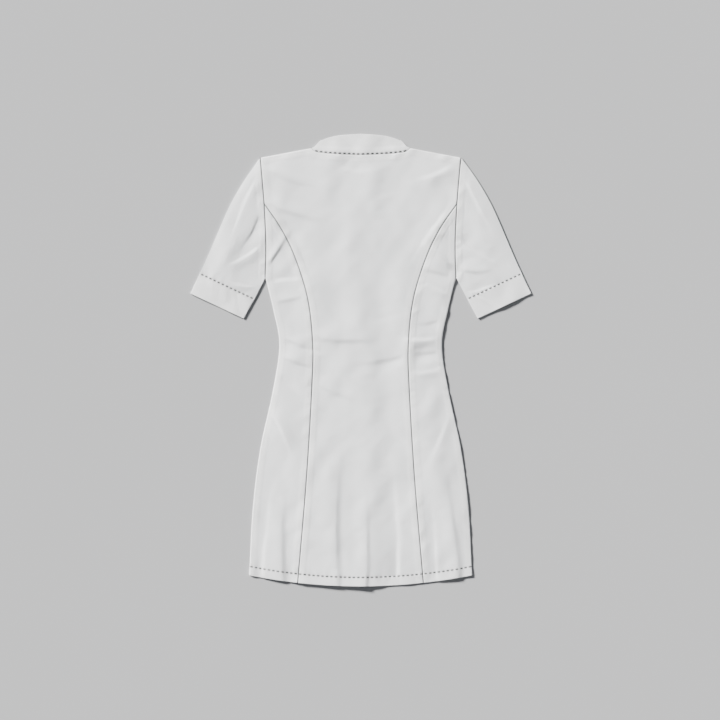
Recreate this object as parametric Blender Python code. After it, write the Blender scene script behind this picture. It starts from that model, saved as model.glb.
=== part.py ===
"""A women's short-sleeved medical tunic with a stand collar, laid flat on its front.

Metres, +Z up. The back faces up, the collar points along +Y, and the wearer's right side
is at +X. The origin is the middle of the footprint, on the surface that the tunic lies on.
Every piece is a wall of cloth cut to its own seam lines: two fronts below, which overlap in
a placket, the back in three panels above them, and sleeves and collar that fold round both.
"""

import math

import bmesh
import bpy
import numpy as np

MM = 0.001

# Cloth and layers
WALL = 1.2 * MM  # thickness of every wall of cloth
GAP = 0.3 * MM  # between neighbouring pieces, along seams and between layers
FOLD_RADIUS = WALL + GAP / 2  # outside of a folded edge
LOFT = 2.6 * MM  # how far the back rises over the fronts, away from its edges
ROLL = 30 * MM  # how fast it rises from a closed edge
REACH = 45 * MM  # how fast it rises from an open edge
OPEN_SHARE = 0.4  # part of the loft that is left at an open edge
BLEND = 8  # how sharply the back's own height gives way to the placket's

# Collar and shoulders, as (x, y) in millimetres on the wearer's right
COLLAR_TOP = ((0, 452.3), (41, 449.4), (61, 445.4), (72, 441.9), (79.5, 438.7))
COLLAR_SIDE = ((98.5, 423.6), (93.5, 425.0), (88.5, 429.3), (83.5, 435.0), (79.5, 438.7))
NECK_SEAM = ((0, 409.6), (50, 411.8), (76, 414.1), (91, 416.8), (98.5, 423.6))
FRONT_NECK_DEPTH = 83 * MM  # from the neck point down to the collar seam at centre front
FRONT_BAND = 38 * MM  # height of the collar at centre front
COLLAR_SLIT = 1.0 * MM  # between the collar's two ends at centre front
FRONT_BAND_TOP = COLLAR_SIDE[0][1] * MM - FRONT_NECK_DEPTH + FRONT_BAND
SHOULDER_POINT = (200.6, 404.3)

# Body, from the armhole down to the hem, as (x, y) in millimetres
ARMHOLE_TOP = ((200.6, 404.3), (196.6, 361), (192.5, 312.2))
ARMHOLE_LOW = ((192.5, 312.2), (189.6, 251), (189.3, 211), (190.7, 166.2))
SIDE_SEAM = (
    # half width, y
    (190.7, 166.2),  # underarm
    (174.6, 100.2),
    (162.6, 30.2),  # waist
    (175.3, -59.8),
    (201.1, -179.8),  # hip
    (216.0, -299.8),
    (222.8, -430.3),  # hem
)
PRINCESS_SEAM = (
    # half width, y
    (192.5, 312.2),  # on the armhole
    (157.3, 260.2),
    (129.1, 200.2),
    (105.1, 120.2),
    (95.5, 30.2),  # waist
    (97.5, -59.8),
    (108.3, -239.8),
    (125.6, -445.3),  # hem
)
HEM_LOW = -452.3 * MM  # the hem at the centre
HEM_BOW = 22.0 * MM  # how much higher it is at the side seams

# Sleeves, as (x, y) in millimetres
SLEEVE_OUTER = ((200.6, 404.3), (231.8, 360), (255.2, 320), (274.1, 280), (308, 200), (339.6, 132.6))
CUFF_INNER = (235.2, 83.6)

# Placket: the wearer's right front lies outside, which is underneath here
OVERLAP = 15 * MM  # each front runs this far past the centre
PLACKET_COLUMNS = (50, 40, 31, 24, 17)  # millimetres out: the left front climbs between them
STUD_COUNT = 7
STUD_PITCH = 90 * MM
STUD_TOP_Y = 315 * MM
STUD_RADIUS = 6.5 * MM
STUD_HEIGHT = 1.0 * MM
STUD_SIDES = 20
PLACKET_RISE = WALL + GAP + STUD_HEIGHT + GAP  # underside of the left front's overlap
PLACKET_FLAT = 22 * MM  # half width of the back that clears the placket
PLACKET_FADE = 55 * MM  # and how far it takes to sink again beside it
PLACKET_CLEAR = 0.4 * MM

# Soft folds of the upper layer, in millimetres
FOLD_TAPER = 1.5  # how fast a fold sinks along its length, where across it is 1
FOLDS = (
    # name, x, y, heading in degrees, half length, half width, height
    ("right underarm", 158, 182, 128, 62, 13, 1.3),
    ("left underarm", -150, 196, 57, 70, 15, 1.1),
    ("right waist", 118, 40, 14, 58, 12, 1.2),
    ("left waist", -122, 12, 170, 50, 13, 1.3),
    ("small of back", -22, 62, 6, 74, 15, 0.9),
    ("right skirt", 158, -230, 98, 120, 17, 1.2),
    ("left skirt", -74, -300, 82, 130, 18, 1.3),
    ("right sleeve", 252, 232, 118, 70, 13, 1.2),
    ("left sleeve", -266, 214, 57, 64, 12, 1.3),
)

# Grid: how many strips each stretch of a piece is divided into
COLUMNS = {"shoulder": 3, "neck": 8, "front_neck": 4, "side_panel": 5}
ROWS = {"armhole_top": 4, "armhole_low": 6, "skirt": 27, "sleeve": 13, "collar": 4}
TIP_SHARE = 0.2  # part of its first strip that is cut off the side panel's sharp upper end
FOLD_STEPS = 4  # facets round each folded edge
CURVE_STEPS = 12  # from one point of a table to the next
EDGE_STEPS = 24  # along each edge that heights are measured from
SHARP_ANGLE = math.radians(40)

WHITE = (0.86, 0.88, 0.90, 1.0)
STEEL = (0.62, 0.63, 0.65, 1.0)
CLOTH_ROUGHNESS = 0.85
STUD_ROUGHNESS = 0.35


def smooth(table):
    """A fine line, in metres, along the smooth curve through a table of (x, y) in millimetres."""
    points = np.array(table, float) * MM
    padded = np.vstack([2 * points[0] - points[1], points, 2 * points[-1] - points[-2]])
    line = [points[0]]
    for a, b, c, d in zip(padded, padded[1:], padded[2:], padded[3:]):
        for t in np.linspace(0, 1, CURVE_STEPS + 1)[1:]:
            bend = (2 * a - 5 * b + 4 * c - d) * t * t + (3 * b - a - 3 * c + d) * t**3
            line.append(b + ((c - a) * t + bend) / 2)
    return np.array(line)


def spaced(line, count):
    """count + 1 evenly spaced points along a line."""
    steps = np.linalg.norm(np.diff(line, axis=0), axis=1)
    along = np.concatenate([[0], np.cumsum(steps)])
    wanted = np.linspace(0, along[-1], count + 1)
    return np.column_stack([np.interp(wanted, along, line[:, k]) for k in (0, 1)])


def joined(*lines):
    """Lines that follow each other, as one."""
    return np.vstack([lines[0]] + [line[1:] for line in lines[1:]])


def mirrored(plan):
    """The same points on the wearer's other side."""
    return plan * (-1, 1)


def hem_y(x):
    """The hem bows down at the centre."""
    return HEM_LOW + HEM_BOW * (x / (SIDE_SEAM[-1][0] * MM)) ** 2


def hem_line(inner_x, outer_x, count):
    """count + 1 points along the hem."""
    x = np.linspace(inner_x, outer_x, count + 1)
    return np.column_stack([x, hem_y(x)])


def both_sides(half):
    """A line from the centre to the wearer's right, continued to the left."""
    return joined(mirrored(half)[::-1], half)


def armhole_line():
    """Armhole seam, whose points the body and the sleeve share."""
    top = spaced(smooth(ARMHOLE_TOP), ROWS["armhole_top"])
    return joined(top, spaced(smooth(ARMHOLE_LOW), ROWS["armhole_low"]))


def princess_line():
    """Princess seam, whose points the back's panels share."""
    return spaced(smooth(PRINCESS_SEAM), ROWS["armhole_low"] + ROWS["skirt"])


def shoulder_line():
    """Shoulder seam, from the collar to the sleeve."""
    return spaced(smooth((COLLAR_SIDE[0], SHOULDER_POINT)), COLUMNS["shoulder"])


def neck_line():
    """Right half of the back's collar seam, from the centre."""
    return spaced(smooth(NECK_SEAM), COLUMNS["neck"])


def front_ellipse(corner, depth):
    """Right half of an ellipse hung from a corner at the side of the neck, from the centre.

    Its points stand over the placket's columns first, and then at even turns.
    """
    inner = [math.asin(x / COLLAR_SIDE[0][0]) for x in (0, *PLACKET_COLUMNS[::-1])]
    outer = np.linspace(inner[-1], math.pi / 2, COLUMNS["front_neck"] + 1)[1:]
    turns = np.concatenate([inner, outer])
    x, y = corner[0] * MM, corner[1] * MM
    return np.column_stack([x * np.sin(turns), y - depth * np.cos(turns)])


def closed_edges():
    """Where the upper layer is sewn or folded onto the lower one, on the wearer's right."""
    underarm = (SIDE_SEAM[0], CUFF_INNER)
    shoulder = (COLLAR_SIDE[0], SHOULDER_POINT)
    tables = (SIDE_SEAM, underarm, SLEEVE_OUTER, shoulder, COLLAR_SIDE)
    return [spaced(smooth(table), EDGE_STEPS) for table in tables]


def open_edges():
    """Hem, cuff and the collar's top edge, on the wearer's right."""
    hem = hem_line(0, SIDE_SEAM[-1][0] * MM, EDGE_STEPS)
    cuff = smooth((CUFF_INNER, SLEEVE_OUTER[-1]))
    return [hem, cuff, smooth(COLLAR_TOP)]


CLOSED_EDGES = closed_edges()
OPEN_EDGES = open_edges()


def distance(points, lines):
    """How far each point is from the nearest of the lines."""
    nearest = np.full(len(points), np.inf)
    for line in lines:
        for start, end in zip(line, line[1:]):
            along = end - start
            share = np.clip((points - start) @ along / (along @ along), 0, 1)
            gap = np.linalg.norm(points - start - share[:, None] * along, axis=1)
            nearest = np.minimum(nearest, gap)
    return nearest


def ease(share):
    """0 to 1 with soft ends."""
    share = np.clip(share, 0, 1)
    return share * share * (3 - 2 * share)


def fold_height(points):
    """The soft folds, added up."""
    height = np.zeros(len(points))
    for _, x, y, heading, half_length, half_width, rise in FOLDS:
        turn = math.radians(heading)
        away = points - (x * MM, y * MM)
        along = away @ (math.cos(turn), math.sin(turn)) / (half_length * MM)
        across = away @ (-math.sin(turn), math.cos(turn)) / (half_width * MM)
        height += rise * MM * np.exp(-(along**2) * FOLD_TAPER - across**2)
    return height


def back_underside(plan):
    """Underside of the upper layer, over the fronts and the placket."""
    points = plan.reshape(-1, 2)
    right = np.column_stack([np.abs(points[:, 0]), points[:, 1]])
    from_closed = 1 - np.exp(-distance(right, CLOSED_EDGES) / ROLL)
    from_open = 1 - np.exp(-distance(right, OPEN_EDGES) / REACH)
    loft = from_closed * (OPEN_SHARE + (1 - OPEN_SHARE) * from_open)
    height = WALL + GAP + LOFT * loft + fold_height(points) * from_closed
    beside = ease((right[:, 0] - PLACKET_FLAT) / PLACKET_FADE)
    under_collar = ease((points[:, 1] - FRONT_BAND_TOP) / REACH)
    placket = (PLACKET_RISE + WALL + PLACKET_CLEAR) * (1 - beside) * (1 - under_collar)
    height = (height**BLEND + placket**BLEND) ** (1 / BLEND)
    return height.reshape(plan.shape[:-1])


def right_underside(plan):
    """The wearer's right front lies flat on the surface."""
    return np.zeros(plan.shape[:-1])


def left_underside(plan):
    """The wearer's left front lies flat too, and climbs onto the right one at the placket."""
    start = -PLACKET_COLUMNS[0] * MM
    climb = (plan[..., 0] - start) / (PLACKET_COLUMNS[0] - PLACKET_COLUMNS[-1]) / MM
    return PLACKET_RISE * ease(climb)


def front_underside(plan):
    """Underside of the lower layer where one piece crosses the centre, as the collar does."""
    return np.where(plan[..., 0] < 0, left_underside(plan), right_underside(plan))


def patch(top, bottom, left, right):
    """Grid of plan points between four edges that share their corners. Rows run down."""
    u = np.linspace(0, 1, len(top))[None, :, None]
    v = np.linspace(0, 1, len(left))[:, None, None]
    across = (1 - u) * left[:, None] + u * right[:, None]
    down = (1 - v) * top[None] + v * bottom[None]
    corners = (1 - v) * ((1 - u) * top[0] + u * top[-1]) + v * ((1 - u) * bottom[0] + u * bottom[-1])
    return across + down - corners


def inward(line, beside):
    """Unit normals of a plan line, on the side where the line beside it lies."""
    tangent = np.gradient(line, axis=0)
    normal = np.column_stack([-tangent[:, 1], tangent[:, 0]])
    normal /= np.linalg.norm(normal, axis=1)[:, None]
    side = np.sign(np.sum(normal * (beside - line), axis=1))
    return normal * side[:, None]


def trimmed(plan):
    """A plan whose four edges stop half a gap short of their seam lines, at its corners too."""
    cut = plan.copy()
    rows = {end: inward(plan[end], plan[beside]) for end, beside in ((0, 1), (-1, -2))}
    columns = {end: inward(plan[:, end], plan[:, beside]) for end, beside in ((0, 1), (-1, -2))}
    for end in (0, -1):
        cut[end] += rows[end] * GAP / 2
        cut[:, end] += columns[end] * GAP / 2
    for row in (0, -1):
        for column in (0, -1):
            a, b = rows[row][column], columns[column][row]
            cut[row, column] = plan[row, column] + (a + b) / (1 + a @ b) * GAP / 2
    return cut


def raised(plan, height):
    """Plan points and their heights, as points in space."""
    return np.dstack([plan, height])


def material(name, colour, roughness, metallic):
    """A Principled BSDF material."""
    made = bpy.data.materials.new(name)
    made.use_nodes = True
    shader = made.node_tree.nodes["Principled BSDF"]
    shader.inputs["Base Color"].default_value = colour
    shader.inputs["Roughness"].default_value = roughness
    shader.inputs["Metallic"].default_value = metallic
    made.diffuse_color = colour
    return made


def add_object(name, mesh_maker, colour=WHITE, roughness=CLOTH_ROUGHNESS, metallic=0.0):
    """A named object with its faces pointing out and a material of its own."""
    shape = bmesh.new()
    mesh_maker(shape)
    bmesh.ops.recalc_face_normals(shape, faces=shape.faces[:])
    mesh = bpy.data.meshes.new(name)
    shape.to_mesh(mesh)
    shape.free()
    mesh.shade_smooth()
    mesh.set_sharp_from_angle(angle=SHARP_ANGLE)
    mesh.materials.append(material(name, colour, roughness, metallic))
    made = bpy.data.objects.new(name, mesh)
    bpy.context.scene.collection.objects.link(made)
    return made


def add_wall(name, outside, inside, ring=False):
    """A closed wall between two grids of points. A ring's last column meets its first."""
    rows, columns = outside.shape[:2]
    strips = columns if ring else columns - 1
    open_sides = () if ring else (0, columns - 1)

    def build(shape):
        out, into = (
            [[shape.verts.new(point) for point in row] for row in grid] for grid in (outside, inside)
        )

        def quad(a, b, c, d):
            shape.faces.new((a, b, c))
            shape.faces.new((a, c, d))

        for column in range(strips):
            beside = (column + 1) % columns
            for row in range(rows - 1):
                for skin in (out, into):
                    above, below = skin[row], skin[row + 1]
                    quad(above[column], above[beside], below[beside], below[column])
            for row in (0, rows - 1):
                quad(out[row][column], out[row][beside], into[row][beside], into[row][column])
        for column in open_sides:
            for row in range(rows - 1):
                quad(out[row][column], out[row + 1][column], into[row + 1][column], into[row][column])

    return add_object(name, build)


def add_panel(name, plan, underside):
    """A panel of cloth over a plan, at the height that its underside has there."""
    cut = trimmed(plan)
    height = underside(cut)
    add_wall(name, raised(cut, height + WALL), raised(cut, height))


def towards(start, end):
    """Unit vectors in plan from one line's points to another's."""
    step = end - start
    return step / np.linalg.norm(step, axis=1)[:, None]


def folded_edge(lower, upper, radius):
    """Half a circle round a folded edge. Each layer gives its edge line and the line beside it."""
    arc = []
    for step in range(FOLD_STEPS + 1):
        turn = math.pi * step / FOLD_STEPS
        share = (np.sign(2 * step - FOLD_STEPS) + 1) / 2
        edge = (1 - share) * lower[0] + share * upper[0]
        inside = (1 - share) * towards(*lower) + share * towards(*upper)
        inside /= np.linalg.norm(inside, axis=1)[:, None]
        plan = edge + inside * (FOLD_RADIUS - radius * math.sin(turn))
        height = np.full(len(plan), FOLD_RADIUS - radius * math.cos(turn))
        arc.append(np.column_stack([plan, height]))
    return arc


def around(low, high, right_fold, left_fold, slit):
    """Columns of a flattened tube, from the middle of its lower layer round and back to it."""
    middle = low.shape[1] // 2
    columns = [low[:, k] for k in range(middle, low.shape[1] - 1)]
    columns += right_fold
    columns += [high[:, k] for k in range(high.shape[1] - 2, 0, -1)]
    columns += left_fold
    columns += [low[:, k] for k in range(1, middle + 1 if slit else middle)]
    return np.stack(columns, axis=1)


def add_folded_tube(name, lower, upper, slit=0.0):
    """A tube pressed flat, or a band laid like one that is slit where its ends meet in front."""
    lower, upper = trimmed(lower), trimmed(upper)
    right = [(plan[:, -1], plan[:, -2]) for plan in (lower, upper)]
    left = [(plan[:, 0], plan[:, 1]) for plan in (lower, upper)]
    skins = []
    for thick in (0.0, WALL):
        below = raised(lower, front_underside(lower) + thick)
        above = raised(upper, back_underside(upper) + WALL - thick)
        right_fold = folded_edge(*right, FOLD_RADIUS - thick)
        left_fold = folded_edge(*left, FOLD_RADIUS - thick)[::-1]
        skin = around(below, above, right_fold, left_fold, slit)
        if slit:
            skin[:, 0, 0] += slit / 2
            skin[:, -1, 0] -= slit / 2
            skin[:, 0, 2] = thick
            skin[:, -1, 2] = PLACKET_RISE + thick
        skins.append(skin)
    add_wall(name, *skins, ring=not slit)


def back_centre():
    """The middle panel of the back, with the shoulders, the neck and both princess seams."""
    right = joined(armhole_line()[: ROWS["armhole_top"] + 1], princess_line())
    top = both_sides(joined(neck_line(), shoulder_line()))
    bottom = hem_line(-right[-1, 0], right[-1, 0], len(top) - 1)
    right[-1] = bottom[-1]
    add_panel("back_centre", patch(top, bottom, mirrored(right), right), back_underside)


def back_side(name, place):
    """A side panel of the back, from the armhole and the princess seam to the hem."""
    left = princess_line()
    right = joined(armhole_line()[ROWS["armhole_top"] :], spaced(smooth(SIDE_SEAM), ROWS["skirt"]))
    for line in (left, right):
        line[0] += TIP_SHARE * (line[1] - line[0])
    across = COLUMNS["side_panel"]
    top = left[0] + np.linspace(0, 1, across + 1)[:, None] * (right[0] - left[0])
    bottom = hem_line(left[-1, 0], right[-1, 0], across)
    left[-1], right[-1] = bottom[0], bottom[-1]
    add_panel(name, place(patch(top, bottom, left, right)), back_underside)


def front(name, place, underside):
    """A front: its main part, and its strip of the placket from there past the centre."""
    right = joined(armhole_line(), spaced(smooth(SIDE_SEAM), ROWS["skirt"]))
    share = np.linspace(0, 1, len(right))[:, None]
    neckline = front_ellipse(COLLAR_SIDE[0], FRONT_NECK_DEPTH)
    placket_columns = len(PLACKET_COLUMNS)
    top = joined(neckline[placket_columns:], shoulder_line())
    bottom = hem_line(top[0, 0], right[-1, 0], len(top) - 1)
    right[-1] = bottom[-1]
    left = top[0] + share * (bottom[0] - top[0])
    past_centre = neckline[0] + (mirrored(neckline)[1] - neckline[0]) * OVERLAP / neckline[1, 0]
    strip_top = np.vstack([past_centre, neckline[:placket_columns]])
    strip_bottom = np.column_stack([strip_top[:, 0], hem_y(strip_top[:, 0])])
    strip = (1 - share[:, None]) * strip_top + share[:, None] * strip_bottom
    plan = np.concatenate([strip, patch(top, bottom, left, right)], axis=1)
    add_panel(name, place(plan), underside)


def sleeve(name, place):
    """A sleeve pressed flat: folded along its outer edge, seamed under the arm, open at both ends."""
    top = armhole_line()[::-1]
    bottom = spaced(smooth((CUFF_INNER, SLEEVE_OUTER[-1])), len(top) - 1)
    left = spaced(smooth((SIDE_SEAM[0], CUFF_INNER)), ROWS["sleeve"])
    right = spaced(smooth(SLEEVE_OUTER), ROWS["sleeve"])
    plan = place(patch(top, bottom, left, right))
    add_folded_tube(name, plan, plan)


def collar():
    """The stand collar pressed flat: one band, folded at the neck points and open at centre front."""
    side = spaced(smooth(COLLAR_SIDE), ROWS["collar"])
    back_top = both_sides(spaced(smooth(COLLAR_TOP), COLUMNS["neck"]))
    upper = patch(both_sides(neck_line()), back_top, mirrored(side), side)
    front_seam = both_sides(front_ellipse(COLLAR_SIDE[0], FRONT_NECK_DEPTH))
    front_top = both_sides(front_ellipse(COLLAR_SIDE[-1], COLLAR_SIDE[-1][1] * MM - FRONT_BAND_TOP))
    lower = patch(front_seam, front_top, mirrored(side), side)
    add_folded_tube("collar", lower, upper, slit=COLLAR_SLIT)


def stud_disc(shape):
    """A closed press stud, as a plain disc."""
    bmesh.ops.create_cone(
        shape,
        cap_ends=True,
        segments=STUD_SIDES,
        radius1=STUD_RADIUS,
        radius2=STUD_RADIUS,
        depth=STUD_HEIGHT,
    )


def press_studs():
    """Press studs between the two layers of the placket, where nothing of them shows."""
    for number in range(STUD_COUNT):
        stud = add_object(f"press_stud_{number + 1}", stud_disc, STEEL, STUD_ROUGHNESS, 1.0)
        stud.location = (0, STUD_TOP_Y - number * STUD_PITCH, WALL + GAP + STUD_HEIGHT / 2)


def same(plan):
    """Leaves a plan on the wearer's right."""
    return plan


def build():
    """The whole tunic."""
    for old in list(bpy.data.objects):
        bpy.data.objects.remove(old)
    front("front_right", same, right_underside)
    front("front_left", mirrored, left_underside)
    back_centre()
    for side, place in (("right", same), ("left", mirrored)):
        back_side(f"back_side_{side}", place)
        sleeve(f"sleeve_{side}", place)
    collar()
    press_studs()


build()
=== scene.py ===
"""The looks of a women's medical tunic that lies flat on its front, seen from above.

Each piece of cloth is a thin closed shell on its solid's form, with its seams, hems,
puckers and creases modelled, and a twill weave in its material.
"""

import math

import bpy
import numpy as np
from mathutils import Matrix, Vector


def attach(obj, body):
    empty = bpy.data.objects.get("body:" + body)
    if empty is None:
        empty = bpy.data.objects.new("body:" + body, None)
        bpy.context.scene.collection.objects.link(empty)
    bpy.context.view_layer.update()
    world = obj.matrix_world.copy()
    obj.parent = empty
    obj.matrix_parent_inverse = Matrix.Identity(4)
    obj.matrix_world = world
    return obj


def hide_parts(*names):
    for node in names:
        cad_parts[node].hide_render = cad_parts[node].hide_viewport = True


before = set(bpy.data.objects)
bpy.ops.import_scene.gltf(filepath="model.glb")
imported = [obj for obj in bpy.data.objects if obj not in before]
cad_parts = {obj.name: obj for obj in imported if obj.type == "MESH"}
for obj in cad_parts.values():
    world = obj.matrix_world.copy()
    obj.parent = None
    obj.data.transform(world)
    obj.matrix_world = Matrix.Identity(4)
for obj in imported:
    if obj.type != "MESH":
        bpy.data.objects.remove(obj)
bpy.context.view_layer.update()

MM = 0.001

# Layers of the solids
WALL = 1.2 * MM  # thickness of the solids' walls
GAP = 0.3 * MM
FOLD_RADIUS = WALL + GAP / 2
LOFT = 2.6 * MM  # how far the back rises over the fronts
ROLL = 30 * MM  # how fast it rises from a closed edge
REACH = 45 * MM  # how fast it rises from an open edge
OPEN_SHARE = 0.4  # part of the loft that is left at an open edge
BLEND = 8  # how sharply the back's own height gives way to the placket's

# Real cloth
PLY = 0.4 * MM
HEM_THICKNESS = 1.15 * MM  # three plies, pressed
CLEARANCE = 0.1 * MM
COLLAR_THICKNESS = 1.1 * MM  # two plies and an interlining
SEAM_SLIT = 0.15 * MM  # each piece stops this far short of its seam line
ALLOWANCE = 11 * MM  # seam allowances, pressed open
ALLOWANCE_RISE = 0.3 * MM
VALLEY_WIDTH = 2.4 * MM  # each side of a seam
VALLEY_DEPTH = {"princess": 2.2 * MM, "armhole": 2.2 * MM, "neck": 1.0 * MM}
SEAM_PAINTED_SHADE_WIDTH = {"princess": 1.9 * MM, "armhole": 1.9 * MM, "neck": 0.5 * MM}  # how wide the painted shade in each seam lies
PUCKER = 0.85 * MM
PUCKER_REACH = 14 * MM
PUCKER_WAVES = (
    # pitch, share, lean across the seam, seed
    (8 * MM, 0.4, 0.5, 5),
    (19 * MM, 0.6, 1.0, 6),
)
EDGE_ROLL = 2.2 * MM  # how far in from the outline a sewn edge turns down
EDGE_DROP = 1.3 * MM
FRONT_LIFT = 0.4 * MM  # and how far the front's edge turns up to meet it
HEM_DEPTH = 18 * MM
CUFF_DEPTH = 44 * MM
HEM_RISE = 0.35 * MM
GROOVE_WIDTH = 1.1 * MM  # where a stitch row pulls the cloth in
GROOVE_DEPTH = 0.45 * MM
BETWEEN_HOLES = 0.5  # part of that depth that is left halfway between two needle holes
ROPING = 0.34 * MM  # uneven waves in a hem and just above it
ROPE_PITCH = 8 * MM
ROPE_LEAN = 0.6
ROPE_PLACE = 0.75  # where the waves in a hem are highest, as a share of its depth
ROPE_WIDTH = 0.4
ABOVE_PITCH = 9 * MM
ABOVE_PLACE = 5 * MM  # where those above it are highest, from its stitch row
ABOVE_WIDTH = 6 * MM
EDGE_CALM = 12 * MM  # creases and rumples fade towards closed edges
BAND_BLUR = 1.0 * MM  # how softly a hem's band of thicker cloth ends
HEM_STEP = 1.5 * MM  # and its step on the surface
ALLOWANCE_BLUR = 1.5 * MM  # how softly an allowance that shows through ends
ALLOWANCE_STEP = 3.0 * MM  # and its step on the surface
NECK_STITCH = 2.2 * MM  # from the collar seam up to its stitch row
STITCH_PAINTED_SHADE = 0.92  # how dark the painted shade is beside each stitch, where it presses the cloth in
SHADE_WIDTH = 2.0 * MM

# Grids: extra lines beside an edge or a stitch row, as shares of the grid's step
FINE_STEPS = (0.05, 0.12, 0.22, 0.36, 0.54, 0.76)
CURVE_STEPS = 24  # from one point of a table to the next
FINE_LINE = 4000  # points along a line that is cut where it meets a stitch row
FOLD_STEPS = 12  # facets round each folded edge
HEM_ROWS = 6  # rows of the grid below a stitch row
CUFF_ROWS = 16
TIP_SHARE = 0.25  # part of its first row that is cut off the side panel's sharp upper end

# Stitches
STITCH_PITCH = 9.1 * MM
STITCH_SHARE = 0.68  # part of the pitch that shows as thread
THREAD_HALF_WIDTH = 0.95 * MM
THREAD_HALF_HEIGHT = 0.42 * MM
THREAD_SIDES = 8
THREAD_STEPS = 6
THREAD_ARCH = 1.6  # in half heights: how far a stitch's middle stands over its ends
THREAD_SINK = 1.2  # and how deep its ends lie in the cloth
THREAD_END = 0.72  # its girth there, as a share of the middle's
SHARP_ANGLE = math.radians(50)

# Collar and shoulders, as (x, y) in millimetres on the wearer's right
COLLAR_TOP = ((0, 452.3), (41, 449.4), (61, 445.4), (72, 441.9), (79.5, 438.7))
COLLAR_SIDE = ((98.5, 423.6), (93.5, 425.0), (88.5, 429.3), (83.5, 435.0), (79.5, 438.7))
NECK_SEAM = ((0, 409.6), (50, 411.8), (76, 414.1), (91, 416.8), (98.5, 423.6))
FRONT_NECK_DEPTH = 83 * MM
FRONT_BAND = 38 * MM
FRONT_BAND_TOP = COLLAR_SIDE[0][1] * MM - FRONT_NECK_DEPTH + FRONT_BAND
COLLAR_SLIT = 1.0 * MM
SHOULDER_SEAM = (COLLAR_SIDE[0], (200.6, 404.3))

# Body
ARMHOLE_TOP = ((200.6, 404.3), (196.6, 361), (192.5, 312.2))
ARMHOLE_LOW = ((192.5, 312.2), (189.6, 251), (189.3, 211), (190.7, 166.2))
SIDE_SEAM = (
    # half width, y
    (190.7, 166.2),  # underarm
    (174.6, 100.2),
    (162.6, 30.2),  # waist
    (175.3, -59.8),
    (201.1, -179.8),  # hip
    (216.0, -299.8),
    (222.8, -430.3),  # hem
)
PRINCESS_SEAM = (
    # half width, y
    (192.5, 312.2),  # on the armhole
    (157.3, 260.2),
    (129.1, 200.2),
    (105.1, 120.2),
    (95.5, 30.2),  # waist
    (97.5, -59.8),
    (108.3, -239.8),
    (125.6, -445.3),  # hem
)
HEM_LOW = -452.3 * MM
HEM_BOW = 22.0 * MM
HEM_HALF = SIDE_SEAM[-1][0] * MM

# Sleeves
SLEEVE_OUTER = ((200.6, 404.3), (231.8, 360), (255.2, 320), (274.1, 280), (308, 200), (339.6, 132.6))
UNDERARM_SEAM = (SIDE_SEAM[0], (235.2, 83.6))
SLEEVE_GRAIN = 24  # degrees that the sleeve's length leans from the body's

# Placket
OVERLAP = 15 * MM
PLACKET_COLUMNS = (50, 40, 31, 24, 17)
STUD_HEIGHT = 1.0 * MM
PLACKET_RISE = WALL + GAP + STUD_HEIGHT + GAP
PLACKET_FLAT = 22 * MM
PLACKET_FADE = 55 * MM
PLACKET_CLEAR = 0.4 * MM

# The solids' soft folds, in millimetres
FOLD_TAPER = 1.5  # how fast a fold sinks along its length, where across it is 1
FOLDS = (
    # name, x, y, heading in degrees, half length, half width, height
    ("right underarm", 158, 182, 128, 62, 13, 1.3),
    ("left underarm", -150, 196, 57, 70, 15, 1.1),
    ("right waist", 118, 40, 14, 58, 12, 1.2),
    ("left waist", -122, 12, 170, 50, 13, 1.3),
    ("small of back", -22, 62, 6, 74, 15, 0.9),
    ("right skirt", 158, -230, 98, 120, 17, 1.2),
    ("left skirt", -74, -300, 82, 130, 18, 1.3),
    ("right sleeve", 252, 232, 118, 70, 13, 1.2),
    ("left sleeve", -266, 214, 57, 64, 12, 1.3),
)

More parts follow.
